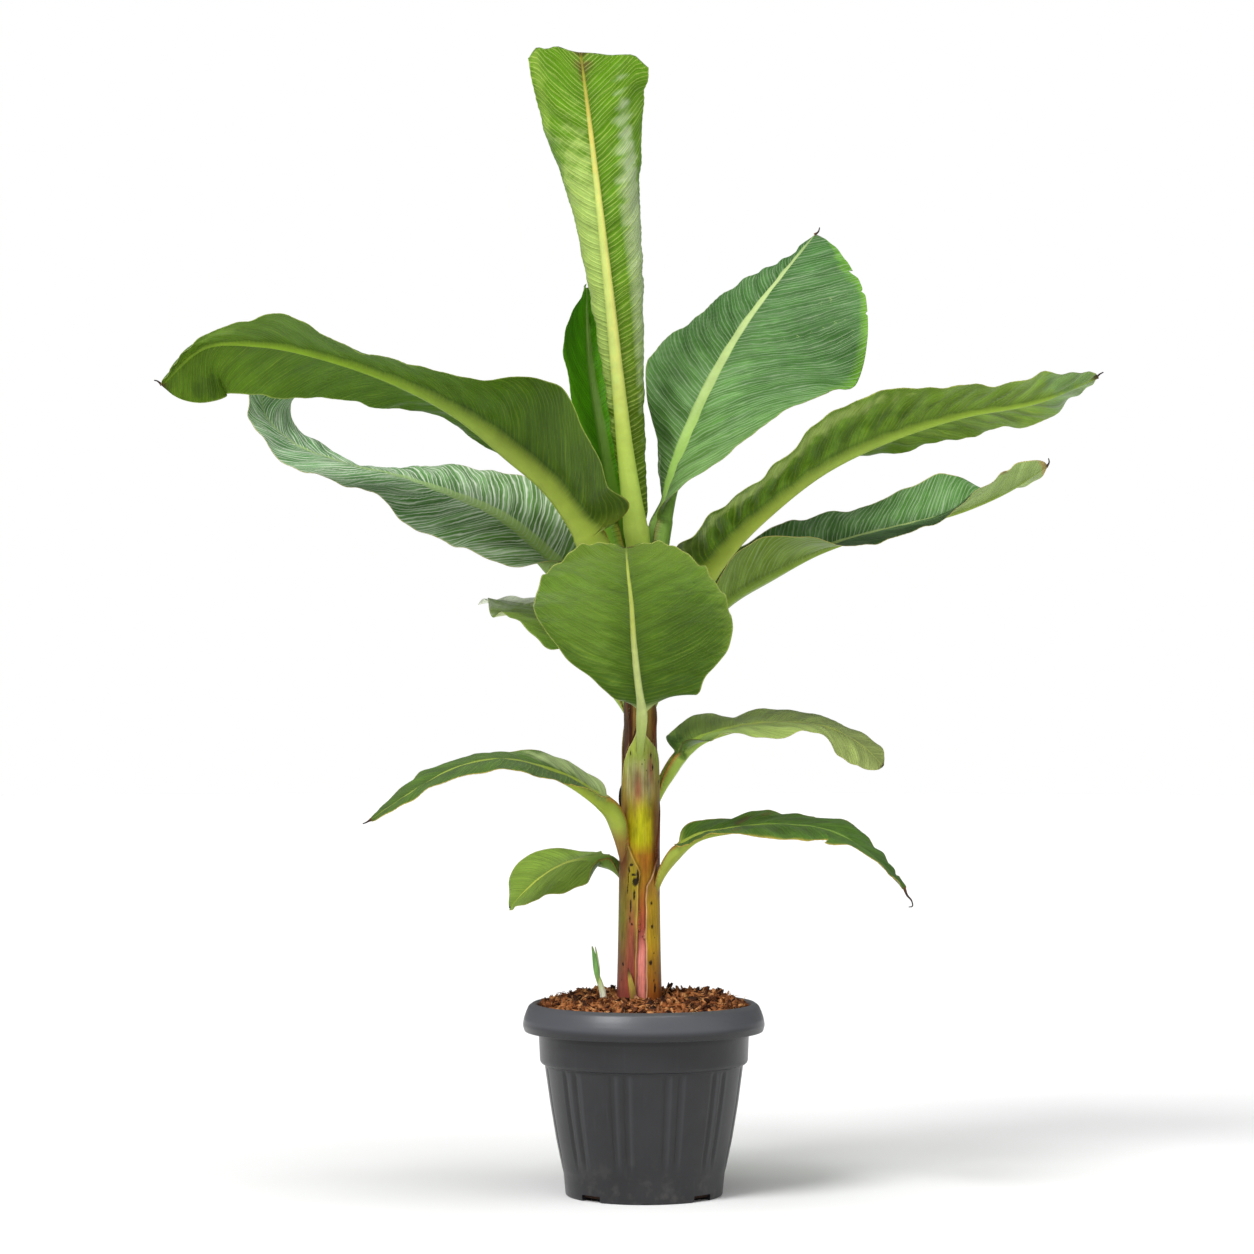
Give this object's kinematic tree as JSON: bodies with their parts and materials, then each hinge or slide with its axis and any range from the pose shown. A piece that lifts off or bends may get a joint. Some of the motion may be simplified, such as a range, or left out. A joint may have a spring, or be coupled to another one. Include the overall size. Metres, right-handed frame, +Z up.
{
  "type": "potted banana plant",
  "caption": "Young banana plant with an upright rolled spear leaf and arching broad leaves on a pseudostem, in a round nursery pot of bark mix.",
  "frame": {"origin": "middle of the pot's flat underside, on the floor", "axes": "+Z up along the pot's axis; the front of the plant, where one broad leaf comes forward, faces -Y; +X is to the viewer's right"},
  "size_m": [1.1545, 0.6385, 1.4344],
  "materials": {
    "pot_plastic": "matte charcoal nursery plastic, slightly dusty",
    "potting_mix": "damp reddish-brown bark and coir",
    "stem_sheath": "satin olive, wine-red and brown banana sheaths",
    "leaf_spear": "soft satin young leaf, yellow-green",
    "leaf_green": "satin mid-green leaf",
    "leaf_waxy": "grey-green leaf with a waxy bloom",
    "leaf_deep": "saturated dark green leaf",
    "dried_sheath": "dry papery yellow-brown sheath"
  },
  "bodies": {
    "root": {"pot": "pot_plastic", "soil": "potting_mix", "pseudostem": "stem_sheath", "sucker": "leaf_green", "dried_stub": "dried_sheath", "leaf_lower_left": "leaf_green", "leaf_lowest_left": "leaf_green", "leaf_lower_right_low": "leaf_deep", "leaf_lower_right_high": "leaf_green", "leaf_front": "leaf_green", "leaf_back_left": "leaf_deep", "leaf_right_low": "leaf_waxy", "leaf_left_twisted": "leaf_waxy", "leaf_right_high": "leaf_green", "leaf_left_high": "leaf_green", "leaf_back_upper": "leaf_deep", "leaf_upper_right": "leaf_waxy", "leaf_spear": "leaf_spear"}
  },
  "joints": []
}
